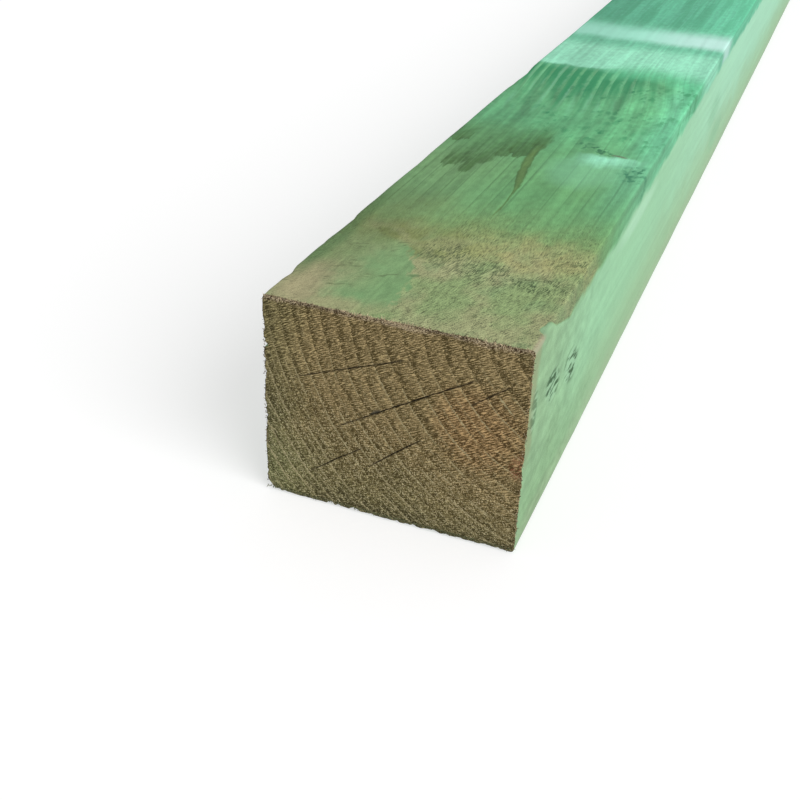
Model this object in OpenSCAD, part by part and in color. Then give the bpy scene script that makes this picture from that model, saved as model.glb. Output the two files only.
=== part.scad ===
// Sawn, treated softwood stud, lying on its wide face as it is stacked.
// Y runs along the length, Z is up, and the origin is the middle of the underside.
// The cut end that shows drying checks faces -Y. The far end is a plain saw cut.

/* [Section] */
// Width of the top face and the underside
stud_w = 60; // [38:1:100]
// Height from the underside to the top face
stud_h = 50; // [38:1:100]

/* [Length] */
// Distance between the two saw-cut ends
stud_l = 2400; // [600:100:4800]

/* [Long edges] */
// Radius of the four eased long edges
arris_r = 0.8; // [0.3:0.1:3]

/* [Heart of the log] */
// Distance of the pith beyond the right-hand face
pith_out = 20; // [5:1:40]
// Distance of the pith above the top face
pith_up = 10; // [0:1:30]

/* [Drying checks] */
// Gap at the middle of the widest check
check_gap = 0.5; // [0.2:0.05:1]
// Sound wood left between a check and the nearest long face
check_cover = 2; // [1:0.5:8]

/* [Edge nick] */
// Distance of the nick below the top face
nick_down = 12; // [6:0.5:30]
// Depth of the nick into the left-hand face
nick_depth = 1; // [0.4:0.1:2]
// Length of the nick along the stud
nick_run = 3; // [2:0.5:10]
// Height of the nick where it opens on the left-hand face
nick_open = 1.4; // [0.6:0.1:3]

/* [Hidden] */
$fn = 96;

// The pith runs along Y, outside the section
pith_x = stud_w / 2 + pith_out;
pith_z = stud_h + pith_up;

// Drying checks open along the rays of the log. Each row holds the bearing from the pith
// in degrees, the distances from the pith to its two tips, and its share of check_gap.
checks = [
    [201.4, 51, 76, 0.7],
    [211.7, 37, 72, 1.0],
    [218.4, 31, 40, 0.5],
    [217.1, 71, 85, 0.8],
    [220.7, 57, 71, 0.8],
];

// Wood colour under the green preservative
timber_colour = [0.47, 0.62, 0.46];

// Section with its four eased corners, centred on X and standing on Z = 0
module section() {
    translate([-stud_w / 2, arris_r]) square([stud_w, stud_h - 2 * arris_r]);
    translate([arris_r - stud_w / 2, 0]) square([stud_w - 2 * arris_r, stud_h]);
    for (side = [-1, 1], level = [arris_r, stud_h - arris_r])
        translate([side * (stud_w / 2 - arris_r), level]) circle(r = arris_r);
}

// Blank sawn to length
module blank() {
    translate([0, stud_l / 2, 0]) rotate([90, 0, 0]) linear_extrude(height = stud_l) section();
}

// Thin lens about Z: gap thick at its centre, closing to a sharp rim at the given radius
module lens(radius, gap) {
    rotate_extrude() polygon([[0, -gap / 2], [radius, 0], [0, gap / 2]]);
}

// One check: a lens standing on its ray, centred on the end face, so that it closes
// towards both tips and towards its bottom inside the wood
module check(bearing, near, far, share) {
    middle = (near + far) / 2;
    translate([pith_x, -stud_l / 2, pith_z])
        rotate([0, -bearing, 0])
            translate([middle, 0, 0]) lens((far - near) / 2, share * check_gap);
}

// Room that the checks may take, clear of the four long faces
module sound_core() {
    reach = max([for (row = checks) row[2] - row[1]]);
    translate([check_cover - stud_w / 2, -stud_l / 2 - reach, check_cover])
        cube([stud_w - 2 * check_cover, 2 * reach, stud_h - 2 * check_cover]);
}

// Chip torn out of the left-hand face where the saw left the wood
module edge_nick() {
    radius = (nick_run * nick_run + nick_depth * nick_depth) / (2 * nick_depth);
    translate([nick_depth - radius - stud_w / 2, -stud_l / 2, stud_h - nick_down])
        lens(radius, nick_open * radius / nick_depth);
}

module stud() {
    color(timber_colour) difference() {
        blank();
        for (row = checks)
            intersection() {
                check(row[0], row[1], row[2], row[3]);
                sound_core();
            }
        edge_nick();
    }
}

stud();
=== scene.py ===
import math
from types import SimpleNamespace

import bpy
import numpy as np
from mathutils import Matrix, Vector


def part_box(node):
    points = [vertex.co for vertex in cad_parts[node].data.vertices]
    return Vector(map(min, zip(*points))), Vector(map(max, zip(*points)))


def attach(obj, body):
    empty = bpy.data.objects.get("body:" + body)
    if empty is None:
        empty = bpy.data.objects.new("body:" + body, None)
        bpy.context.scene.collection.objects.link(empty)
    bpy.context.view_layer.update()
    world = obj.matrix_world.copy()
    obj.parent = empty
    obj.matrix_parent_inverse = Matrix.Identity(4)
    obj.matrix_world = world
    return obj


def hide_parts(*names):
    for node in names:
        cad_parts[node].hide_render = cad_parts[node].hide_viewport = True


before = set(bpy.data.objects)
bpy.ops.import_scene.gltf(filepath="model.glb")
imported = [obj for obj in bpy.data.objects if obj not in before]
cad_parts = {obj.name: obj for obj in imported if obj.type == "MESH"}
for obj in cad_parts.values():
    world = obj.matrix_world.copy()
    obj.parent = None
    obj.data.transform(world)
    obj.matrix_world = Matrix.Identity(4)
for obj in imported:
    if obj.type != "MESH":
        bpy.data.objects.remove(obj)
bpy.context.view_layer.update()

# Stud, its form
# A length of softwood sawn square from beside the heart of a log, so that its growth rings curve
# round a pith outside the section. The saw leaves it rough, and drying opens checks in its end.
MM = 0.001
stud_low, stud_high = (np.array(corner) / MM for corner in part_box("stud"))
width, length, height = stud_high - stud_low
half_width = width / 2
near_end = stud_low[1]
arris_radius = 0.8
pith_x = half_width + 20
pith_z = height + 10
ring_width = 4.2
saw_slant = math.radians(27)
columns, rows = 200, 168
near_reach, seen_reach = 24, 330
relief_reach = 4
knot_x, knot_along = 14, 122
# Each check's bearing from the pith in degrees, the distances of its two tips and its share of the gap
checks = [(201.4, 51, 76, 0.7), (211.7, 37, 72, 1.0), (218.4, 31, 40, 0.5), (217.1, 71, 85, 0.8),
          (220.7, 57, 71, 0.8)]


def rings_grown(distance):
    """Rings from the pith out to a distance: even ones, wider inside 37 mm and narrower past 58.5 mm.

    It takes an array, or a wire of a material's nodes.
    """
    inner, outer = 37 - distance, distance - 58.5
    even = (distance - 37) / ring_width
    return even + 0.022 * (inner + abs(inner)) + 0.039 * (outer + abs(outer))


def ripple(seed, a, b):
    """Smooth random height from -1 to 1: random values on a whole-number lattice, eased between."""
    table = np.random.default_rng(seed).uniform(-1, 1, (97, 89))
    i, j = np.floor(a).astype(int), np.floor(b).astype(int)
    f, g = a - i, b - j
    f, g = f * f * (3 - 2 * f), g * g * (3 - 2 * g)
    low = table[i % 97, j % 89] * (1 - f) + table[(i + 1) % 97, j % 89] * f
    high = table[i % 97, (j + 1) % 89] * (1 - f) + table[(i + 1) % 97, (j + 1) % 89] * f
    return low * (1 - g) + high * g


def section_loop(columns, rows):
    """Grid places round the section, anticlockwise from the bottom left as seen from the near end."""
    right, up = np.arange(columns), np.arange(rows)
    i = np.concatenate([right, np.full(rows, columns), columns - right, np.zeros(rows, int)])
    j = np.concatenate([np.zeros(columns, int), up, np.full(columns, rows), rows - up])
    return i, j


def bridge(ring, following):
    """Faces between two rings: quads, or three triangles to a cell where the second has half the points."""
    a, d = ring, following
    if len(ring) == len(following):
        return np.column_stack([a, d, np.roll(d, -1), np.roll(a, -1)]), np.empty((0, 3), int)
    a, middle, c = ring[0::2], ring[1::2], np.roll(d, -1)
    fans = [(a, d, middle), (d, c, middle), (c, np.roll(a, -1), middle)]
    return np.empty((0, 4), int), np.concatenate([np.column_stack(fan) for fan in fans])


def open_checks(x, z):
    """Opens each drying check as a groove along a ray from the pith.

    In every grid column that a check crosses, the nearest point goes to the groove's bottom and its
    two neighbours to the lips. The gap and the depth shrink to nothing at both tips.
    """
    along = np.zeros_like(z)
    widest_gap, deepest = 0.4, 5.0
    for number, (bearing, near, far, share) in enumerate(checks):
        slope = math.tan(math.radians(bearing))
        lean = abs(math.cos(math.radians(bearing)))
        distance = (pith_x - x[:, 0]) / lean
        spread = np.abs(2 * distance - near - far) / (far - near)
        crossed = np.flatnonzero(spread < 1)
        openness = (1 - spread[crossed] ** 2) * share
        wander = 0.1 * ripple(70 + number, distance[crossed] / 2.5, np.zeros(len(crossed)))
        centre = pith_z + slope * (x[crossed, 0] - pith_x) + wander
        middle = np.round(centre / height * rows).astype(int)
        lip = widest_gap / 2 * openness / lean + 0.03
        z[crossed, middle] = centre
        z[crossed, middle + 1] = centre + lip
        z[crossed, middle - 1] = centre - lip
        along[crossed, middle] = deepest * openness
    return z, along


def stud_grid():
    """Points of a plain box as x, along and z, and its faces: the two end grids and the rings between.

    The rings crowd towards both ends, and lose half their points twice on the way to the far one.
    """
    i, j = np.meshgrid(np.arange(columns + 1), np.arange(rows + 1), indexing="ij")
    x = width * i / columns - half_width
    z, along = open_checks(x, height * j / rows)
    points = [np.column_stack([x.ravel(), along.ravel(), z.ravel()])]
    number = i * (rows + 1) + j
    a, b, c, d = number[:-1, :-1], number[1:, :-1], number[1:, 1:], number[:-1, 1:]
    near_cap = np.concatenate([np.column_stack([a.ravel(), b.ravel(), c.ravel()]),
                               np.column_stack([a.ravel(), c.ravel(), d.ravel()])])
    quads, triangles = [], []
    loop_i, loop_j = section_loop(columns, rows)
    ring = number[loop_i, loop_j]
    count = number.size
    crowding = 1.7
    near = near_reach * np.linspace(0.05, 1, 20) ** crowding
    share = np.linspace(0, 1, 71)[1:]
    middle = near_reach + (seen_reach - near_reach) * (0.45 * share + 0.55 * share ** 2)
    middle = np.unique(np.concatenate([middle, np.arange(knot_along - 12, knot_along + 6, 1.2)]))
    rear = np.linspace(seen_reach, length - near_reach, 46)[1:]
    last = length - near_reach * np.linspace(1, 0, 13)[1:] ** crowding
    for stations, step in ((near, 1), (middle, 2), (np.concatenate([rear, last]), 4)):
        ring_x = width * loop_i[::step] / columns - half_width
        ring_z = height * loop_j[::step] / rows
        for station in stations:
            following = count + np.arange(len(ring_x))
            points.append(np.column_stack([ring_x, np.full(len(ring_x), station), ring_z]))
            four, three = bridge(ring, following)
            quads.append(four)
            triangles.append(three)
            ring = following
            count += len(ring)
    far_columns, far_rows = columns // 4, rows // 4
    far_number = np.empty((far_columns + 1, far_rows + 1), int)
    far_number[section_loop(far_columns, far_rows)] = ring
    inner_i, inner_j = np.meshgrid(np.arange(1, far_columns), np.arange(1, far_rows), indexing="ij")
    far_number[1:-1, 1:-1] = count + np.arange(inner_i.size).reshape(inner_i.shape)
    points.append(np.column_stack([width * inner_i.ravel() / far_columns - half_width,
                                   np.full(inner_i.size, length), height * inner_j.ravel() / far_rows]))
    a, b, c, d = far_number[:-1, :-1], far_number[1:, :-1], far_number[1:, 1:], far_number[:-1, 1:]
    far_cap = np.column_stack([a.ravel(), d.ravel(), c.ravel(), b.ravel()])
    return np.concatenate(points), near_cap, far_cap, np.concatenate(quads), np.concatenate(triangles)


def fading(depth, reach):
    """1 on a face, easing to 0 at the given depth below it."""
    return np.clip(1 - depth / reach, 0, 1) ** 2


def sawn_relief(seed, across, along):
    """Hollows of a sawn face: fine fibres, wider grain and slow waves, all drawn out lengthwise."""
    fibres = 0.06 * ripple(seed, across / 0.7, along / 9)
    grain = 0.08 * ripple(seed + 1, across / 2.2, along / 45)
    waves = 0.12 * ripple(seed + 2, across / 11, along / 160)
    return fibres + grain + waves


def torn_edge(seed, across, along, bite, run):
    """Chips out of the near end's edge: the hollows of a two-scale ripple, fading out over the run."""
    coarse = 0.75 * ripple(seed, across / 2.8, along / 5)
    fine = 0.6 * ripple(seed + 1, across / 0.8, along / 3)
    return bite * np.maximum(coarse + fine, 0) * np.exp(-along / run)


def nick(z, along):
    """Wedge torn from the left-hand face where the saw came through, as deep as the two slopes allow."""
    nick_z, nick_half_height, nick_run, nick_depth = height - 12, 0.8, 3.0, 1.1
    up = np.clip(1 - np.abs(z - nick_z) / nick_half_height, 0, 1)
    return nick_depth * up * np.clip(1 - along / nick_run, 0, 1)


def end_grain_relief(seed, x, z):
    """Roughness of a cross-cut end: torn dashes at the saw's slant, each ring stepping down as it ends."""
    down_dash = x * math.cos(saw_slant) + z * math.sin(saw_slant)
    over_dash = z * math.cos(saw_slant) - x * math.sin(saw_slant)
    dashes = 0.05 * ripple(seed, down_dash / 1.5, over_dash / 0.6)
    steps = 0.03 * (rings_grown(np.hypot(x - pith_x, z - pith_z)) % 1)
    torn = 0.03 * ripple(seed + 1, x / 0.45, z / 0.45)
    return dashes + steps + torn


def knot_ridge(x, along):
    """Swelling at the knot: it climbs over 9 mm along the grain, drops behind a crest that bends back."""
    behind = along - knot_along + 1.5 * ((x - knot_x) / 13) ** 2 + 1.2 * ripple(50, x / 3, along / 9)
    climb = np.clip(1 + behind / 9, 0, 1) ** 2 * np.clip(1 - behind / 2.4, 0, 1)
    return 0.4 * climb * np.clip(1.2 - np.abs(x - knot_x - 4) / 10, 0, 1)


def arris_chips(z, along):
    """Splinters gone from the left-hand top arris: scoops that deepen towards the arris.

    A scoop has its middle along the stud, half its length and its depth.
    """
    below = np.clip(1 - (height - z) / 5, 0, 1)
    scoops = [(7, 9, 0.2), (12.5, 3, 0.5), (42, 8, 0.35), (47, 3, 0.3), (95, 9, 0.3), (185, 9, 0.6),
              (197, 8, 0.9)]
    return below * sum(deep * np.clip(1 - ((along - middle) / half) ** 2, 0, 1)
                       for middle, half, deep in scoops)


def rubbed_corner(out, along):
    """Rounding of the near end's bottom left corner, by the distance out along the other face."""
    return 1.1 * fading(out, 3.5) * np.exp(-along / 6)


def ease_arrises(x, z):
    """Rounds the four long edges: the square at each corner is drawn in to a quarter disc."""
    middle_z = height / 2
    out_x = np.maximum(np.abs(x) - (half_width - arris_radius), 0)
    out_z = np.maximum(np.abs(z - middle_z) - (middle_z - arris_radius), 0)
    reach = np.hypot(out_x, out_z)
    spare = 1 - np.maximum(out_x, out_z) / np.where(reach > 0, reach, 1)
    spare = np.where(reach > 0, spare, 0)
    return x - np.sign(x) * out_x * spare, z - np.sign(z - middle_z) * out_z * spare


def worn(points):
    """Adds each face's relief along that face's normal, fading out below it, so that edges stay closed."""
    x, along, z = points.T
    x, z = ease_arrises(x, z)
    left = sawn_relief(10, z, along) + torn_edge(30, z, along, 0.4, 4) + torn_edge(38, z, along, 0.3, 70)
    left = left + nick(z, along) + arris_chips(z, along) + rubbed_corner(z, along)
    right = sawn_relief(13, z, along) + torn_edge(32, z, along, 0.25, 2)
    under = sawn_relief(16, x, along) + torn_edge(34, x, along, 0.8, 4)
    under = under + rubbed_corner(half_width + x, along)
    top = sawn_relief(19, x, along) + torn_edge(36, x, along, 0.3, 2) - knot_ridge(x, along)
    near = end_grain_relief(40, x, z)
    far = end_grain_relief(42, x, z)
    new_x = x + left * fading(half_width + x, relief_reach) - right * fading(half_width - x, relief_reach)
    new_z = z + under * fading(z, relief_reach) - top * fading(height - z, relief_reach)
    new_along = along + near * fading(along, relief_reach) + far * fading(length - along, relief_reach)
    return np.column_stack([new_x, new_along + near_end, new_z]) * MM


def laid_flat(points, faces):
    """Place of each corner of the side faces once the four sides are unrolled: along, and round them.

    A face lies on the side of the box that its middle is nearest to.
    """
    x, along, z = np.moveaxis(points[faces], -1, 0)
    to_sides = np.stack([z, half_width - x, height - z, half_width + x]).mean(-1)
    unrolled = np.stack([half_width + x, width + z, width + height + half_width - x,
                         2 * (width + height) - z])
    round_section = np.take_along_axis(unrolled, to_sides.argmin(0)[None, :, None], 0)[0]
    return np.stack([along, round_section], -1)


def room_on_map(place, low, high, corner, opposite):
    """Map places: the range from low to high in mm goes to the room between two corners of the map."""
    share = (place - np.array(low)) / (np.array(high) - low)
    return (np.array(corner) + share * (np.array(opposite) - corner)).reshape(-1, 2)


def bake_map(points, near_cap, far_cap, sides):
    """Map for baked colours: most room for the cut end, then the sides up to the laths, then the rest."""
    girth = 2 * (width + height)
    end_low, end_high = (-half_width, 0), (half_width, height)
    rooms = ((near_cap, (0.004, 0.55), (0.55, 0.995)), (far_cap, (0.56, 0.55), (0.72, 0.69)))
    charts = [room_on_map(points[faces][..., [0, 2]], end_low, end_high, corner, opposite)
              for faces, corner, opposite in rooms]
    for faces in sides:
        place = laid_flat(points, faces)
        near = room_on_map(place, (0, 0), (seen_reach, girth), (0.004, 0.125), (0.996, 0.54))
        beyond = room_on_map(place, (seen_reach, 0), (length, girth), (0.004, 0.004), (0.996, 0.115))
        is_near = np.repeat(place[..., 0].mean(1) < seen_reach, faces.shape[1])
        charts.append(np.where(is_near[:, None], near, beyond))
    return np.concatenate(charts)


box_points, near_cap, far_cap, side_quads, side_triangles = stud_grid()
stud_mesh = bpy.data.meshes.new("sawn_stud")
stud_faces = near_cap.tolist() + far_cap.tolist() + side_quads.tolist() + side_triangles.tolist()
stud_mesh.from_pydata(worn(box_points), [], stud_faces)
end_faces = len(near_cap) + len(far_cap)
stud_mesh.polygons.foreach_set("use_smooth", np.ones(len(stud_faces), bool))
stud_mesh.polygons.foreach_set("material_index", (np.arange(len(stud_faces)) >= end_faces).astype(np.int32))
stud_map = bake_map(box_points, near_cap, far_cap, (side_quads, side_triangles))
stud_mesh.uv_layers.new(name="OFBake").data.foreach_set("uv", stud_map.ravel())
stud = bpy.data.objects.new("sawn_stud", stud_mesh)
bpy.context.scene.collection.objects.link(stud)
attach(stud, "root")
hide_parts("stud")


# Stud, the bare wood of its ends
# Brown end grain, cut after the treatment: growth rings round the pith, and short fibres torn at the
# saw's slant. It is matt and darker where it is damp, with painted shade inside the checks.
class Wire:
    """An output socket of a material's nodes. Arithmetic on it adds Math nodes."""

    def __init__(self, tree, socket=None):
        self.tree = tree
        self.socket = socket

    def add(self, kind, settings, sockets, out=0):
        """Adds any other node: its type, its settings, then the values or links of its sockets."""
        node = self.tree.nodes.new(kind)
        for name, value in settings.items():
            setattr(node, name, value)
        for name, value in sockets.items():
            if isinstance(value, Wire):
                self.tree.links.new(value.socket, node.inputs[name])
            else:
                node.inputs[name].default_value = value
        return Wire(self.tree, node.outputs[out])

    def math(self, operation, first, second=0.0):
        """Adds a Math node on one or two values."""
        return self.add("ShaderNodeMath", {"operation": operation}, {0: first, 1: second})

    def __add__(self, other):
        return self.math("ADD", self, other)

    def __sub__(self, other):
        return self.math("SUBTRACT", self, other)

    def __rsub__(self, other):
        return self.math("SUBTRACT", other, self)

    def __mul__(self, other):
        return self.math("MULTIPLY", self, other)

    def __truediv__(self, other):
        return self.math("DIVIDE", self, other)

    def __abs__(self):
        return self.math("ABSOLUTE", self)

    __radd__ = __add__
    __rmul__ = __mul__


def rise(value, low, high):
    """Smooth step: 0 at low and 1 at high. With low above high it falls instead."""
    return value.add("ShaderNodeMapRange", {"interpolation_type": "SMOOTHSTEP"},
                     {"Value": value, "From Min": low, "From Max": high})


def band(value, start, stop, soft):
    """1 between start and stop, with soft edges centred on both."""
    return rise(value, start - soft, start + soft) * rise(value, stop + soft, stop - soft)


def hump(value, middle, half):
    """1 at the middle, easing to 0 at half a width either side."""
    return rise(abs(value - middle), half, 0)


def blend(share, first, second):
    """Colour that goes from the first to the second as the share goes from 0 to 1."""
    colours = {name: c if isinstance(c, Wire) else (*c, 1) for name, c in ((6, first), (7, second))}
    return share.add("ShaderNodeMix", {"data_type": "RGBA"}, {0: share, **colours}, out=2)


def shade(colour, level):
    """Colour made lighter or darker by a level, where 1 leaves it alone."""
    return level.add("ShaderNodeVectorMath", {"operation": "SCALE"}, {0: colour, "Scale": level})


def patches(place, sizes, seed, detail=2.0):
    """Smooth random value round 0.5 whose patches have these sizes in mm across, along and up."""
    spots = place.add("ShaderNodeVectorMath", {"operation": "MULTIPLY_ADD"},
                      {0: place, 1: [1 / size for size in sizes], 2: (seed * 7.3, seed * 3.1, seed * 5.7)})
    return place.add("ShaderNodeTexNoise", {}, {"Vector": spots, "Scale": 1.0, "Detail": detail})


def spot(across, along, middle, reach, core=0.3):
    """Oval mark: 1 in its core, easing to 0 at the reach in mm each way from its middle."""
    u, v = (across - middle[0]) / reach[0], (along - middle[1]) / reach[1]
    return rise(u * u + v * v, 1.0, core)


def vector(x, y, z):
    """Vector from three values, at least the first of which is a wire."""
    return x.add("ShaderNodeCombineXYZ", {}, {"X": x, "Y": y, "Z": z})


def ring_count(place, x, z):
    """Growth rings from the pith out to a place, wavering by under a millimetre."""
    from_x, from_z = x - pith_x, z - pith_z
    distance = place.math("SQRT", from_x * from_x + from_z * from_z)
    waver = 1.8 * (patches(place, (14, 400, 14), 1) - 0.5)
    return rings_grown(distance + waver)


def start_finish(name):
    """New material with the shader's tree, and the place on the stud: a vector, x, along and z in mm."""
    material = bpy.data.materials.new(name)
    material.use_nodes = True
    wire = Wire(material.node_tree)
    raw = wire.add("ShaderNodeTexCoord", {}, {}, out="Object")
    place = raw.add("ShaderNodeVectorMath", {"operation": "MULTIPLY_ADD"},
                    {0: raw, 1: [1 / MM] * 3, 2: (0, -near_end, 0)})
    x, along, z = (place.add("ShaderNodeSeparateXYZ", {}, {"Vector": place}, out=axis) for axis in "XYZ")
    return material, place, x, along, z


def end_finish(material, colour, roughness, bump_height, bump_distance):
    """Joins the colour, roughness and relief to the material's shader."""
    shader = material.node_tree.nodes["Principled BSDF"]
    shader.inputs["Specular IOR Level"].default_value = 0.25
    normal = bump_height.add("ShaderNodeBump", {}, {"Height": bump_height, "Strength": 1.0,
                                                    "Distance": bump_distance * MM})
    for name, wire in (("Base Color", colour), ("Roughness", roughness), ("Normal", normal)):
        material.node_tree.links.new(wire.socket, shader.inputs[name])
    return material


def flecks(lengthwise, crosswise, sizes):
    """Flecks lying side by side: cells of these sizes in mm, each with a tint of its own from -0.5 to 0.5.

    The tint is full at the cell's middle and fades to nothing at its rim.
    """
    cell = vector(lengthwise / sizes[0], crosswise / sizes[1], 0.0)
    flat = {"voronoi_dimensions": "2D"}
    from_middle = cell.add("ShaderNodeTexVoronoi", flat, {"Vector": cell, "Scale": 1.0})
    tint = cell.add("ShaderNodeTexVoronoi", flat, {"Vector": cell, "Scale": 1.0}, out="Color")
    return (tint - 0.5) * rise(from_middle, 0.7, 0.15)


def hairlines(place, x, z):
    """Dark lines of the checks' closed tips: 1 on each check's ray, a little past both its tips."""
    share = 0.0
    for bearing, near, far, _ in checks:
        ray_x, ray_z = math.cos(math.radians(bearing)), math.sin(math.radians(bearing))
        outward = (x - pith_x) * ray_x + (z - pith_z) * ray_z
        aside = (z - pith_z) * ray_x - (x - pith_x) * ray_z + 0.25 * (patches(place, (3, 3, 3), 32) - 0.5)
        share = share + rise(abs(aside), 0.2, 0.08) * band(outward, near, far + 1, 2.5)
    return share


def end_grain():
    """Rings about the pith and flecks torn at the saw's slant, tinted by patches of damp and resin."""
    material, place, x, along, z = start_finish("end_grain")
    specks = patches(place, (0.2, 0.2, 0.2), 4, 0.0) - 0.5
    frayed = patches(place, (0.6, 0.6, 0.6), 39) - 0.5
    grown = ring_count(place, x, z) + 0.18 * frayed
    ring, ring_number = place.math("FRACT", grown), place.math("FLOOR", grown)
    early_wood, late_wood = rise(ring, 0.0, 0.09) * rise(ring, 0.55, 0.14), rise(ring, 0.55, 0.85)
    blotches = patches(place, (9, 9, 9), 5, 3.0) - 0.5
    low = rise(z + 0.25 * x + 12 * (patches(place, (11, 11, 11), 7) - 0.5), 34, 10)
    climb = math.sin(saw_slant) - 0.2 * rise(z, 36, 8)
    down_dash = x * math.cos(saw_slant) + z * climb
    over_dash = z * math.cos(saw_slant) - x * climb
    dash_pitch = 0.5
    dash_place = vector(down_dash, over_dash, ring_number * 3)
    dashes = patches(dash_place, (1.3, 0.18, 1), 3, 0.3) - 0.5
    sway = 1.4 * (patches(place, (4, 4, 4), 2) - 0.5) + 0.37 * ring_number
    comb = place.math("SINE", (over_dash / dash_pitch + sway) * math.tau)
    comb = comb * rise(patches(dash_place, (1.2, 0.7, 1), 29), 0.3, 0.6)
    usual_distance = 65
    round_pith = usual_distance * place.math("ARCTAN2", z - pith_z, x - pith_x)
    arcs = flecks(round_pith, grown * ring_width, (0.6, 0.25))
    warmth = spot(x + 6 * blotches, z, (20, 28.5), (13, 13), 0.0)
    upper = (1 - 0.4 * low) * (1 + 0.3 * warmth)
    torn = upper * (1.7 * dashes + 0.16 * comb) + (0.8 + 0.45 * low) * specks + 0.9 * low * arcs
    sparkle = rise(torn, 0.08, 0.42)
    line_number = place.math("FLOOR", grown * 2)
    lasting = patches(vector(1.7 * line_number, round_pith, 0.0), (1, 9, 1), 6, 1.0)
    lines = rise(place.math("FRACT", grown * 2), 0.2 + 0.16 * low, 0.06 + 0.08 * low)
    lines = lines * rise(lasting, 0.41, 0.52) * rise(z, 47, 33)
    lines = lines * (0.9 - 0.55 * place.math("MODULO", line_number, 2.0))
    strength = 0.08 + 0.2 * patches(place, (7, 7, 7), 9)
    banded = strength * (1 - 0.5 * low) * (0.55 * early_wood - 0.85 * late_wood)
    tone = 0.25 + 0.78 * torn + 0.42 * sparkle + banded + 0.24 * blotches - 0.025 * low
    tone = tone - 0.05 * spot(x, z, (-5, 13), (11, 15), 0.0)
    tone = tone + 0.1 * spot(x, z, (-27, 7), (10, 12), 0.0)
    colour = blend(tone, (0.064, 0.045, 0.011), (0.53, 0.4, 0.19))
    colour = blend(0.6 * warmth, colour, blend(tone, (0.075, 0.036, 0.008), (0.6, 0.36, 0.155)))
    corner = rise(x + z + 6 * blotches, 73, 80)
    damp = 0.5 * rise(x + 9 * blotches, -14, -31) + 0.4 * corner
    damp = damp + 0.6 * rise(z + 0.2 * x + 12 * blotches, 24, 0)
    colour = blend(damp, colour, blend(tone, (0.04, 0.038, 0.011), (0.35, 0.355, 0.155)))
    sodden = rise(z + 8 * blotches, 8, 0) + 0.5 * rise(x + 6 * blotches, -26, -31)
    colour = shade(colour, 1 - (0.32 - 0.26 * rise(x, -12, -24) * rise(z, 20, 10)) * sodden)
    colour = blend(lines * (0.5 + 0.35 * rise(torn, -0.25, 0.25)), colour, (0.4, 0.345, 0.185))
    colour = blend(rise(specks + 0.6 * arcs, 0.17, 0.27) * (0.15 + 0.45 * low), colour, (0.6, 0.53, 0.33))
    rusty = spot(x, z, (29, 22), (2.5, 4)) * rise(specks, -0.02, 0.1)
    colour = blend(0.45 * rusty, colour, (0.3, 0.07, 0.04))
    bruise = spot(x, z - 0.6 * x, (-3.4, 29.4), (1.6, 0.8), 0.0)
    colour = blend(0.8 * bruise, colour, (0.03, 0.031, 0.024))
    checked = rise(along, 40, 20)
    colour = blend(0.8 * checked * hairlines(place, x, z), colour, (0.028, 0.02, 0.01))
    fringe = rise(z + 3 * blotches, height - 1.6, height - 0.5) * rise(abs(dashes + specks), 0.02, 0.13)
    paler = 0.22 * hump(x, 0, 8) - 0.18 * hump(x, -17, 8) - 0.18 * hump(x, 10, 5)
    whiskers = blend(rise(dashes + specks + paler, -0.07, 0.07), (0.07, 0.035, 0.018), (0.6, 0.49, 0.33))
    colour = blend(0.75 * fringe, colour, whiskers)
    # Painted shade: almost black where the surface lies below the end face, inside the open checks.
    colour = blend(rise(along, 0.22, 0.8) * checked, colour, (0.016, 0.013, 0.008))
    return end_finish(material, colour, 0.82 + 0.3 * specks, torn + 0.15 * early_wood, 0.12)


stud_mesh.materials.append(end_grain())


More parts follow.
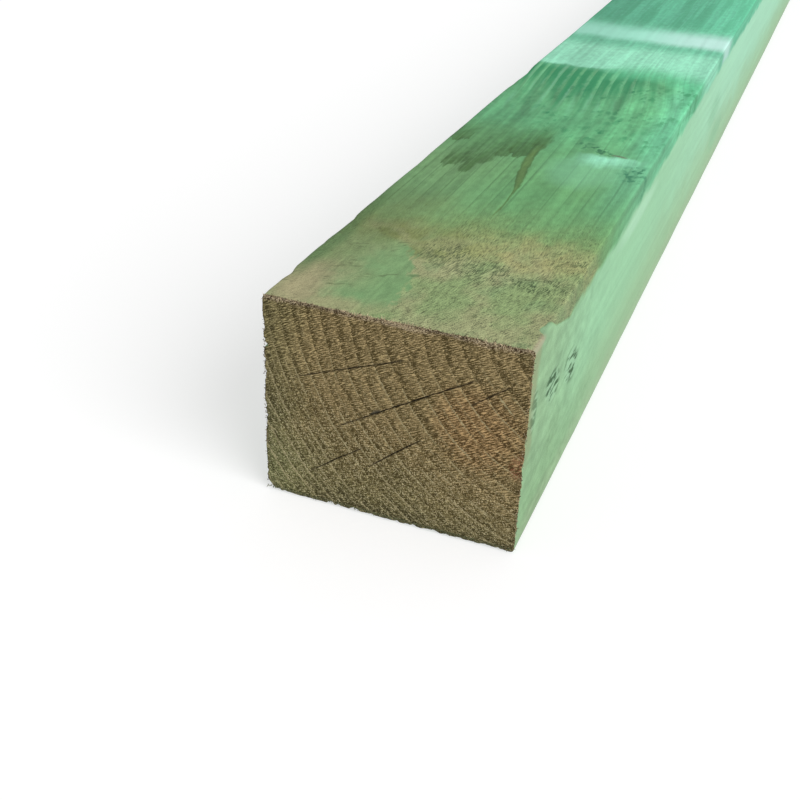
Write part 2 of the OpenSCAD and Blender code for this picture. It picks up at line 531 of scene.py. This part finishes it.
# Stud, the treated finish of its sawn faces
# Green preservative soaked into rough-sawn wood. The top has weathered tan by the cut, and keeps
# a water stain, a spike knot and two pale marks of the laths that it was stacked under.
def read_face(name):
    """New material, and what its layers read: the place, each face's mask, the grain and the rings.

    The top's mask laps over the right-hand arris, except right by the cut.
    """
    material, place, x, along, z = start_finish(name)
    to_side = abs(x) - half_width - place.math("MAXIMUM", z - height, 0 - z)
    chewed = to_side + 3 * (patches(place, (3, 7, 3), 25) - 0.5) * rise(along, 60, 20)
    smeared = rise(abs(along - 12.5), 6.5, 3) * rise(x, 10, 20)
    bend = 4 * rise(along, 146, 216) + 5 * (patches(place, (60, 160, 60), 17) - 0.5) * rise(along, 20, 120)
    bend = bend + 4 * rise(along, 180, 226) * rise(x, 0, 14)
    grain_x = x + bend
    grain_place = vector(grain_x, along, z)
    fine = patches(grain_place, (0.5, 16, 0.5), 11)
    medium = patches(grain_place, (1.7, 70, 1.7), 12, 3.0)
    broad = patches(grain_place, (8, 260, 8), 13, 3.0)
    near = place.math("MINIMUM", along / 48, 1.0)
    lying = patches(vector(x - 12 * near * (2 - near), along, z), (0.21, 1.7, 0.21), 14, 1.0)
    grainy = patches(place, (0.2, 0.32, 0.2), 36, 0.0)
    blotches = patches(place, (8, 11, 8), 15, 4.0) - 0.5
    by_cut = rise(along - 1.9 * (height - z) + 6 * blotches, 19, 10)
    side = rise(chewed + 1.4 * smeared, -0.35, 0.35)
    lapped_and_shaded = side * rise(z + 5 * blotches - 9 * by_cut, 42.5, 45.5) * rise(x, -1, 1)
    side = side - 0.95 * lapped_and_shaded
    from_lath = along + 2 * (fine - 0.5) + 7 * blotches - 8 * hump(x + 8 * blotches, 11, 23)
    return SimpleNamespace(
        material=material, place=place, x=x, along=along, z=z, to_side=to_side,
        top=(1 - side) * rise(z, height / 2 - 1, height / 2 + 1), right=side * rise(x, -1, 1),
        lapped_and_shaded=lapped_and_shaded, grain_place=grain_place, bend=bend, fine=fine, medium=medium,
        streaks=rise(0.12 * fine + 0.5 * medium + 0.38 * broad, 0.36, 0.64),
        nap=0.5 + (0.75 + 0.3 * near) * (lying - 0.5) + (0.75 - 0.45 * near) * (grainy - 0.5),
        mottle=patches(place, (1.8, 3.4, 1.8), 26, 3.0) - 0.5,
        blotches=blotches, from_lath=from_lath,
        clouds=patches(place, (17, 24, 17), 16, 3.0) - 0.5,
        ring=place.math("FRACT", ring_count(grain_place, grain_x, z)))


def streaked(face, colour):
    """Colour in the face's own light and dark streaks and soft mottle."""
    return shade(colour, 0.81 + 0.28 * face.streaks + 0.1 * face.fine + 0.5 * face.mottle)


def green_ground(face):
    """Green by the distance from the cut, streaked, with the thin dark late wood of each ring."""
    green = blend(rise(face.x, 6, -22), (0.143, 0.37, 0.15), (0.16, 0.315, 0.136))
    far_left = rise(face.x + 10 * face.clouds, -2, -18)
    further = blend(far_left, (0.13, 0.43, 0.2), (0.118, 0.365, 0.172))
    green = blend(rise(face.along, 95, 150), green, further)
    teal = rise(face.x + 6 * face.clouds, 17, 28) * rise(face.along, 55, 110)
    green = blend(0.4 * teal, green, (0.13, 0.47, 0.32))
    green = blend(rise(face.along, 240, 310), green, (0.118, 0.46, 0.285))
    late_wood = rise(face.ring, 0.84, 0.97) * rise(face.medium, 0.3, 0.5)
    clear = 0.15 + 0.5 * face.top * rise(face.along, 38, 60) * rise(face.along, 150, 115)
    colour = streaked(face, green)
    return blend(clear * late_wood, colour, shade(green, 0.5 + 0.2 * face.fine))


def mould(face, colour):
    """Soft dark spots in clusters, pale early wood, and dark wedges that end at the first lath mark."""
    clusters = rise(patches(face.place, (12, 18, 12), 27), 0.4, 0.58) * rise(face.x, -30, -4)
    ragged_x, ragged_along = face.x + 1.5 * face.mottle, face.along + 5 * face.mottle
    spots = rise(flecks(ragged_along, ragged_x, (5.2, 2.5)), -0.02, 0.36)
    spots = spots + 0.7 * rise(flecks(ragged_along + 40, ragged_x, (2.8, 1.4)), 0.02, 0.34)
    spots = spots * band(face.along, 130, 212, 9) * (0.3 + 0.7 * clusters)
    colour = blend(0.7 * spots * face.top, colour, (0.04, 0.235, 0.1))
    drifting = patches(face.grain_place, (5, 32, 5), 40) - 0.5
    colour = shade(colour, 1 + 1.3 * drifting * band(face.along, 128, 222, 10) * face.top)
    broken = rise(patches(face.grain_place, (2.4, 30, 2.4), 34), 0.4, 0.62)
    pale = hump(face.ring, 0.3, 0.42) * broken * rise(face.along + 40 * face.clouds, 146, 186)
    pale = pale * rise(face.from_lath, 219, 212) * (0.15 + 0.35 * rise(face.x, 12, -6))
    colour = blend(pale * face.top, colour, (0.21, 0.55, 0.345))
    start = face.along + 80 * (patches(face.grain_place, (3, 90, 3), 19) - 0.5) + 16 * hump(face.x, -7, 22)
    pressed = rise(start, 172, 210) * rise(face.from_lath, 224, 209) * (1 - 0.6 * rise(face.x, 4, 20))
    lozenges = flecks(ragged_along, ragged_x + face.bend, (17, 3.2))
    teeth = 0.85 * hump(face.ring, 0.72, 0.6) + 0.7 * lozenges
    wedges = rise(teeth + 0.3 * pressed + face.mottle, 0.15, 0.9)
    return blend(0.9 * pressed * wedges * face.top, colour, (0.022, 0.245, 0.1))


def water_stain(face, colour):
    """Damp that crept towards the cut along the grain in blunt, ragged tongues, the longest an olive run.

    A tongue has the place of its tip, half its width, its length and its share.
    """
    x = face.x + 2.4 * (patches(face.place, (1.2, 6, 1.2), 22, 3.0) - 0.5)
    along = face.along + 9 * (patches(face.grain_place, (1.3, 60, 1.3), 31) - 0.5) + 5 * face.mottle
    soaked = rise(along, 108, 122) * rise(along, 146, 126) * rise(x, -1, -4)
    colour = blend(0.5 * soaked * face.top, colour, streaked(face, (0.085, 0.215, 0.075)))
    tongues = [(-6.3, 110.5, 4.3, 30, 0.8), (-3.6, 119, 2.4, 20, 0.65), (-11.4, 107, 2.2, 30, 0.7),
               (-14, 99, 1.8, 36, 0.7), (-17, 91.5, 1.9, 40, 0.85), (-19.8, 98, 1.6, 30, 0.7),
               (-22.5, 93.5, 2.6, 30, 0.85), (-26.8, 116.5, 3, 22, 0.85)]
    streaky = 0.6 + 0.4 * rise(patches(face.grain_place, (0.9, 24, 0.9), 41), 0.36, 0.54)
    for tip_x, tip_along, half_wide, run, share in tongues:
        onward = (along - tip_along) / run
        inside = half_wide * rise(onward, -0.04, 0.1) - abs(x - tip_x)
        wet = rise(inside, -0.45, 0.55) * rise(onward, 1.1, 0.12) * streaky
        damp = blend(rise(onward, 0.1, 0.9), (0.05, 0.12, 0.033), (0.07, 0.195, 0.068))
        colour = blend(share * wet * face.top, colour, shade(damp, 0.5 + face.medium + 0.9 * face.mottle))
    middle = 0.9 - 4.2 * rise(face.along, 76, 116)
    half_wide = (0.2 + 1.15 * rise(face.along, 78, 98)) * (0.6 + 0.8 * patches(face.place, (30, 5, 30), 35))
    inside = half_wide - abs(0.5 * (face.x + x) - middle)
    olive = blend(rise(inside, 0.1, 0.9), (0.075, 0.16, 0.044), (0.115, 0.21, 0.06))
    run = rise(inside, -0.25, 0.25) * rise(face.along + 20 * face.blotches, 55, 66)
    run = run * rise(face.along, 126, 112)
    return blend(0.85 * run * face.top, colour, streaked(face, olive))


def spike_knot(face, colour):
    """Knot sawn lengthwise: a pale swelling that ends at a crest, with dark broken fibres behind it."""
    uneven = face.along - knot_along + 9 * face.blotches + 3 * face.mottle
    wide = rise(abs(face.x - knot_x - 4 + 8 * face.blotches), 13, 0)
    smear = spot(face.x + 6 * face.blotches, face.along, (13, 106), (13, 18), 0.0)
    colour = blend(0.4 * smear * face.top, colour, (0.24, 0.6, 0.37))
    swell = rise(uneven, -14, -2) * rise(uneven, 1.6, -1.4) * wide
    colour = blend(0.78 * swell * face.top, colour, streaked(face, (0.32, 0.77, 0.54)))
    splinters = flecks(face.along + 4 * face.mottle, face.x + 3 * face.mottle, (2.2, 1.5))
    broken = rise(splinters + 1.2 * face.mottle, -0.12, 0.22)
    hollow = spot(face.x, face.along + 0.6 * face.x, (12, 133.8), (8, 5), 0.2)
    colour = blend(0.9 * hollow * broken * face.top, colour, (0.028, 0.15, 0.068))
    slit = spot(face.x, face.along + 0.25 * face.x, (20, 127.5), (3, 1.1))
    colour = blend(0.8 * slit * face.top, colour, (0.13, 0.145, 0.1))
    rim = spot(face.x, face.along + 6 * face.blotches, (27, 110), (6, 9), 0.1) * broken
    return blend(0.9 * rim * face.top, colour, (0.035, 0.18, 0.095))


def weathered_end(face, colour):
    """Tan and olive by the cut, matted with torn fibres, round a patch that has stayed green."""
    ragged = face.along + 16 * face.blotches + 12 * face.clouds
    paler = rise(face.clouds + 0.4 * face.blotches, -0.13, 0.07)
    tan = blend(paler, (0.25, 0.325, 0.143), (0.33, 0.335, 0.172))
    tan = blend(0.4 * rise(face.blotches, 0.05, 0.18), tan, (0.2, 0.32, 0.145))
    tan = blend(rise(ragged, 42, 56), tan, (0.205, 0.3, 0.115))
    colour = blend(0.92 * rise(ragged, 80, 44) * face.top, colour, tan)
    olive = blend(rise(face.x, -6, 6), (0.165, 0.205, 0.06), (0.31, 0.335, 0.13))
    yellow = blend(rise(face.x + 20 * face.blotches, 4, 14), olive, (0.355, 0.35, 0.15))
    dry = rise(ragged, 31, 41) * rise(ragged, 61, 42)
    dry = dry * (0.5 + 0.5 * rise(patches(face.place, (6, 9, 6), 38), 0.42, 0.58))
    colour = blend(0.8 * dry * face.top, colour, yellow)
    corner = spot(face.x + 8 * face.blotches, face.along, (-24, 10), (11, 15), 0.0)
    colour = blend(0.8 * corner * face.top, colour, (0.365, 0.32, 0.185))
    bruised = rise(face.x + 5 * face.blotches, -24.5, -28) * band(face.along, 14, 66, 8)
    colour = blend(0.65 * bruised * face.top, colour, (0.1, 0.21, 0.075))
    dim_left = rise(face.x + 8 * face.blotches, -12, -22) * band(face.along, 16, 76, 8)
    colour = shade(colour, 1 - 0.2 * dim_left * face.top)
    matted = rise(ragged, 82, 40) * (0.5 + 0.5 * rise(face.x, -12, 2)) * face.top
    pits = rise(face.nap, 0.42, 0.28)
    colour = shade(colour, 1.02 + matted * (1.6 * (face.nap - 0.5) - 0.25 * pits + 0.7 * face.mottle))
    lie_along, lie_across = 0.88 * face.x + 0.47 * face.along, 0.88 * face.along - 0.47 * face.x
    hairs = patches(vector(lie_along, lie_across, face.z), (13, 2, 9), 20, 1.0) - 0.5
    hairs = rise(abs(hairs), 0.03, 0.006) * rise(patches(face.place, (6, 6, 6), 23), 0.52, 0.62)
    patch = rise(face.x + 12 * face.blotches, -25, -9)
    patch = patch * rise(face.x + 8 * face.mottle + 9.5 * rise(face.along, 14, 46), -1.8, -4)
    patch = patch * rise(face.along + 12 * face.blotches, 2, 10) * rise(face.along + 0.35 * face.x, 36, 32)
    patch_level = 0.72 + 0.12 * face.streaks + 0.5 * face.mottle + 0.32 * face.nap
    smooth_green = shade((0.185, 0.355, 0.152), patch_level)
    colour = blend(0.85 * patch * face.top, colour, smooth_green)
    colour = blend(0.5 * hairs * rise(ragged, 60, 40) * face.top, colour, (0.09, 0.12, 0.05))
    clusters = [((23, 29), (9, 6), 0.9), ((9, 30), (12, 7), 0.65), ((-1, 37), (9, 7), 0.6),
                ((28, 45), (2.5, 3), 0.8)]
    dark_fibres = rise(face.nap + 0.7 * face.mottle, 0.55, 0.38)
    for middle, reach, share in clusters:
        cluster = spot(face.x, face.along + 6 * face.blotches, middle, reach, 0.0)
        colour = blend(share * cluster * dark_fibres * face.top, colour, (0.055, 0.09, 0.038))
    return colour


def lath_marks(face, colour):
    """Two pale bars across the top where laths lay on it, the first with an uneven near edge."""
    lath = face.along + 2 * (face.fine - 0.5) + 7 * face.blotches
    bright = rise(face.from_lath, 208, 226) * rise(lath, 304, 286)
    colour = blend(0.9 * bright * face.top, colour, streaked(face, (0.175, 0.565, 0.37)))
    soft = rise(face.x + 10 * face.blotches, -9, 3)
    lush = band(face.from_lath, 203, 230, 7) * soft
    colour = blend(0.75 * lush * face.top, colour, streaked(face, (0.145, 0.6, 0.32)))
    first_mark = (1 - soft) * rise(face.from_lath, 214, 218) + soft * rise(face.from_lath, 206, 226)
    first_mark = first_mark * rise(lath, 260, 244)
    colour = blend(0.92 * first_mark * face.top, colour, streaked(face, (0.335, 0.8, 0.56)))
    second_mark = rise(lath, 260, 271) * rise(lath, 295, 277)
    white = blend(rise(face.x, -10, 24), (0.37, 0.81, 0.63), (0.56, 0.87, 0.78))
    colour = blend(0.95 * second_mark * face.top, colour, white)
    beyond = rise(face.along, 290, 304) * rise(patches(face.grain_place, (3.4, 60, 3.4), 24), 0.46, 0.6)
    colour = blend(0.5 * beyond * face.top, colour, (0.075, 0.36, 0.2))
    lighter = 0.3 * rise(face.x, 8, 28) * rise(face.along, 50, 165) * (1 - band(face.along, 208, 292, 7))
    darker = 0.16 * rise(face.x, -4, -20) * rise(face.along, 212, 226)
    return shade(colour, 1 + (lighter - darker) * face.top)


def right_face(face, colour):
    """Pale mint, lifted with painted light, greyer by the cut and the lower edge, with clusters of dark
    scratches.

    The green of the top laps a few millimetres over the upper edge, except right by the cut.
    There it is darkened with painted shade of the rounded arris.
    """
    # The mint's paleness is partly its own colour and partly painted light, standing for the stronger light
    # on this side.
    mint_and_painted_light = blend(rise(face.along, 0, 70), (0.25, 0.41, 0.23), (0.285, 0.535, 0.32))
    mint_and_painted_light = blend(rise(face.along, 60, 360), mint_and_painted_light, (0.34, 0.63, 0.445))
    lower = blend(rise(face.along, 30, 90), (0.225, 0.38, 0.2), (0.29, 0.435, 0.25))
    mint_and_painted_light = blend(0.7 * rise(face.z + 16 * face.clouds, 30, 6), mint_and_painted_light, lower)
    mint_and_painted_light = blend(0.3 * rise(face.z + 6 * face.blotches, 9, 1), mint_and_painted_light, (0.34, 0.37, 0.25))
    for middle, reach in (((266, 27), (19, 8)), ((282, 13), (22, 7))):
        dim = spot(face.along + 20 * face.blotches, face.z, middle, reach, 0.0)
        mint_and_painted_light = blend(0.45 * dim, mint_and_painted_light, (0.21, 0.44, 0.27))
    mint_and_painted_light = blend(0.35 * spot(face.along, face.z, (108, 40), (34, 4), 0.0), mint_and_painted_light, (0.5, 0.78, 0.58))
    near = rise(face.along, 100, 20)
    uneven = (0.08 + 0.5 * near) * face.mottle + 0.6 * near * face.blotches
    mint_and_painted_light = shade(mint_and_painted_light, 0.94 + 0.08 * face.streaks + uneven)
    bare = rise(face.along + 5 * face.blotches, 6, 2.5) * rise(face.z + 8 * face.blotches, 18, 28)
    mint_and_painted_light = blend(0.75 * bare, mint_and_painted_light, blend(face.nap, (0.2, 0.24, 0.12), (0.32, 0.36, 0.2)))
    strokes = patches(vector(face.x, face.along, face.z + 0.05 * face.along), (9, 6, 1.3), 21)
    strokes = rise(strokes, 0.44, 0.56)
    scratched_wood = blend(strokes, (0.36, 0.6, 0.4), (0.05, 0.115, 0.05))
    scratches = [((19.5, 32), (7.5, 5), 0.85), ((37.5, 28), (8, 5.5), 0.8), ((4, 34), (3, 7), 0.35)]
    for middle, reach, share in scratches:
        scratched = spot(face.along, face.z + 0.25 * (face.along - middle[0]), middle, reach, 0.2)
        mint_and_painted_light = blend(scratched * (0.25 + share * strokes), mint_and_painted_light, scratched_wood)
    # Painted shade: the top's green that laps over the upper edge is darkened as the rounded arris's shade.
    colour = blend(face.right, shade(colour, 1 - 0.26 * face.lapped_and_shaded), mint_and_painted_light)
    rubbed = rise(abs(face.to_side), 1.5, 0.3) * rise(face.x, 20, 26) * rise(face.along, 9, 6)
    return blend(0.6 * rubbed * rise(face.z, 40, 46), colour, (0.38, 0.32, 0.235))


def treated_faces():
    """The layers in the order in which the wood took them, then its matt, streaky relief."""
    face = read_face("treated_faces")
    colour = green_ground(face)
    for layer in (mould, water_stain, spike_knot, weathered_end, lath_marks, right_face):
        colour = layer(face, colour)
    clear = (0.35 + 0.65 * rise(face.along, 150, 60)) * (1 - 0.6 * face.right * rise(face.along, 20, 60))
    relief = (0.25 * face.fine + 0.3 * face.medium + 0.3 * face.nap) * clear
    return end_finish(face.material, colour, 0.62 + 0.25 * face.fine, relief, 0.2)


stud_mesh.materials.append(treated_faces())


# Torn fibres
# Whiskers of the stud's own wood that the saw pulled loose along the edges of the cut end. Each is a
# sliver rooted in the edge and thinning to a point, straw to dark brown, and mossy along the bottom.
sliver_points = 7


def slivers(roots, leanings, lengths, thickness, draw):
    """Bent three-sided spikes: a root triangle, a thinner one past half way and set off, and a point."""
    count = len(roots)
    ahead = leanings / np.linalg.norm(leanings, axis=1, keepdims=True)
    aside = np.cross(ahead, draw.normal(size=(count, 3)))
    aside = aside / np.linalg.norm(aside, axis=1, keepdims=True)
    other = np.cross(ahead, aside)
    corner = np.radians([0, 120, 240])
    triangle = (aside[:, None] * np.cos(corner)[:, None] + other[:, None] * np.sin(corner)[:, None])
    triangle = triangle * thickness[:, None, None]
    bend = draw.normal(0, 0.14, (count, 3)) * lengths[:, None]
    middle = roots + 0.55 * ahead * lengths[:, None] + bend
    tip = roots + ahead * lengths[:, None] + 2.6 * bend
    spikes = [roots[:, None] + triangle, middle[:, None] + 0.8 * triangle, tip[:, None]]
    points = np.concatenate(spikes, axis=1).reshape(-1, 3)
    faces = np.array([(0, 2, 1), (0, 1, 4), (0, 4, 3), (1, 2, 5), (1, 5, 4), (2, 0, 3), (2, 3, 5),
                      (3, 4, 6), (4, 5, 6), (5, 3, 6)])
    first_point = sliver_points * np.arange(count)[:, None, None]
    return points, (first_point + faces).reshape(-1, 3)


def edge_whiskers():
    """Whiskers along each edge of the cut end: one row of roots to an edge.

    A row has the number of whiskers, the edge's two ends, the way they lean, their longest length and
    their palest tint.
    """
    draw = np.random.default_rng(7)
    rim = half_width - 0.2
    rows_of_roots = [
        (1300, (-rim, 0, height - 0.3), (rim, 0, height - 0.3), (0.2, -0.6, 0.4), 0.9, 1.15),
        (260, (rim, 0, 1), (rim, 0, height - 1), (0.4, -0.7, 0.2), 0.6, 0.8),
        (220, (-rim, 0, 1), (-rim, 0, height - 1), (-0.4, -0.6, 0.2), 0.5, 0.55),
        (800, (-rim, 0, 0.8), (rim, 0, 0.8), (0.1, -0.8, -0.3), 0.7, 0.45),
    ]
    roots, leanings, longest, tints = [], [], [], []
    for count, start, stop, leaning, most, palest in rows_of_roots:
        share = draw.random((count, 1))
        on_edge = np.array(start) * (1 - share) + np.array(stop) * share
        roots.append(on_edge + draw.normal(0, 0.12, (count, 3)))
        leanings.append(np.array(leaning) + draw.normal(0, 0.6, (count, 3)))
        longest.append(np.full(count, most))
        tints.append(palest * draw.random(count))
    roots, leanings, longest = np.concatenate(roots), np.concatenate(leanings), np.concatenate(longest)
    lengths = longest * draw.uniform(0.3, 1, len(roots)) ** 1.5
    points, faces = slivers(roots, leanings, lengths, draw.uniform(0.05, 0.11, len(roots)), draw)
    points[:, 1] += near_end
    points[:, 2] = np.maximum(points[:, 2], 0)
    return points * MM, faces, np.repeat(np.concatenate(tints), sliver_points)


def whisker_wood():
    """From dark brown to straw by each whisker's own tint, and mossy green near the floor."""
    material, place, x, _, z = start_finish("whisker_wood")
    tint = place.add("ShaderNodeAttribute", {"attribute_name": "tint"}, {}, out="Fac")
    paler = 0.3 * hump(x, 0, 9) - 0.2 * hump(x, -17, 8) - 0.2 * hump(x, 10, 5)
    paler = paler * rise(z, height - 3, height - 2)
    bare = blend(rise(tint + paler, 0.15, 0.95), (0.06, 0.038, 0.018), (0.6, 0.49, 0.32))
    bare = blend(rise(z, 3, 1), bare, blend(tint, (0.075, 0.08, 0.036), (0.3, 0.32, 0.17)))
    return end_finish(material, bare, 0.7 + 0.2 * tint, tint, 0.01)


whisker_points, whisker_faces, whisker_tints = edge_whiskers()
whisker_mesh = bpy.data.meshes.new("torn_fibres")
whisker_mesh.from_pydata(whisker_points, [], whisker_faces.tolist())
whisker_mesh.attributes.new("tint", "FLOAT", "POINT").data.foreach_set("value", whisker_tints)
whisker_mesh.materials.append(whisker_wood())
torn_fibres = bpy.data.objects.new("torn_fibres", whisker_mesh)
bpy.context.scene.collection.objects.link(torn_fibres)
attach(torn_fibres, "root")


# Floor, light and camera
# A plain white floor, an even white surround with one broad soft lamp on the right, and a camera
# with a slightly long lens that looks down at the near end.
floor_size = 12.0
floor_drop = 0.3 * MM
floor_mesh = bpy.data.meshes.new("floor")
floor_corners = np.array([(-1, -1), (1, -1), (1, 1), (-1, 1)]) * floor_size / 2
floor_mesh.from_pydata(np.column_stack([floor_corners, np.full(4, -floor_drop)]), [], [(0, 1, 2, 3)])
floor = bpy.data.objects.new("floor", floor_mesh)
bpy.context.scene.collection.objects.link(floor)


def floor_white():
    """Pale matt floor that also glows to the camera alone, so that it shows white with a soft shadow."""
    material = bpy.data.materials.new("floor_white")
    material.use_nodes = True
    tree = material.node_tree
    tree.nodes.remove(tree.nodes["Principled BSDF"])
    wire = Wire(tree)
    matt = wire.add("ShaderNodeBsdfDiffuse", {}, {"Color": (0.55, 0.55, 0.55, 1)})
    camera_ray = wire.add("ShaderNodeLightPath", {}, {}, out="Is Camera Ray")
    glow = wire.add("ShaderNodeEmission", {}, {"Strength": camera_ray * 0.5})
    surface = wire.add("ShaderNodeAddShader", {}, {0: matt, 1: glow})
    tree.links.new(surface.socket, tree.nodes["Material Output"].inputs["Surface"])
    return material


floor_mesh.materials.append(floor_white())

surround_level = 0.55
world = bpy.data.worlds.new("surround")
world.use_nodes = True
sky = world.node_tree.nodes["Background"]
light_path = Wire(world.node_tree).add("ShaderNodeLightPath", {}, {}, out="Is Camera Ray")
sky.inputs["Color"].default_value = (1, 1, 1, 1)
level = light_path * (1 - surround_level) + surround_level
world.node_tree.links.new(level.socket, sky.inputs["Strength"])
bpy.context.scene.world = world

lamp_turn, lamp_height = math.radians(63), math.radians(30)
lamp_data = bpy.data.lights.new("broad_lamp", "SUN")
lamp_data.energy = 2.7
lamp_data.angle = math.radians(50)
lamp = bpy.data.objects.new("broad_lamp", lamp_data)
lamp.matrix_world = Matrix.Rotation(lamp_turn, 4, "Z") @ Matrix.Rotation(math.pi / 2 - lamp_height, 4, "X")
bpy.context.scene.collection.objects.link(lamp)

camera_place = np.array([73.86, near_end - 191.94, 154.98]) * MM
camera_turn, camera_dip, camera_roll = (math.radians(angle) for angle in (20.51, 31.0, 2.25))
camera_data = bpy.data.cameras.new("camera")
camera_data.lens = 50.97
camera_data.sensor_width = 36
camera = bpy.data.objects.new("camera", camera_data)
camera.matrix_world = (Matrix.Translation(camera_place) @ Matrix.Rotation(camera_turn, 4, "Z")
                       @ Matrix.Rotation(math.pi / 2 - camera_dip, 4, "X")
                       @ Matrix.Rotation(camera_roll, 4, "Z"))
camera_data.clip_start = 0.01
bpy.context.scene.collection.objects.link(camera)
bpy.context.scene.camera = camera
bpy.context.scene.view_settings.view_transform = "Standard"
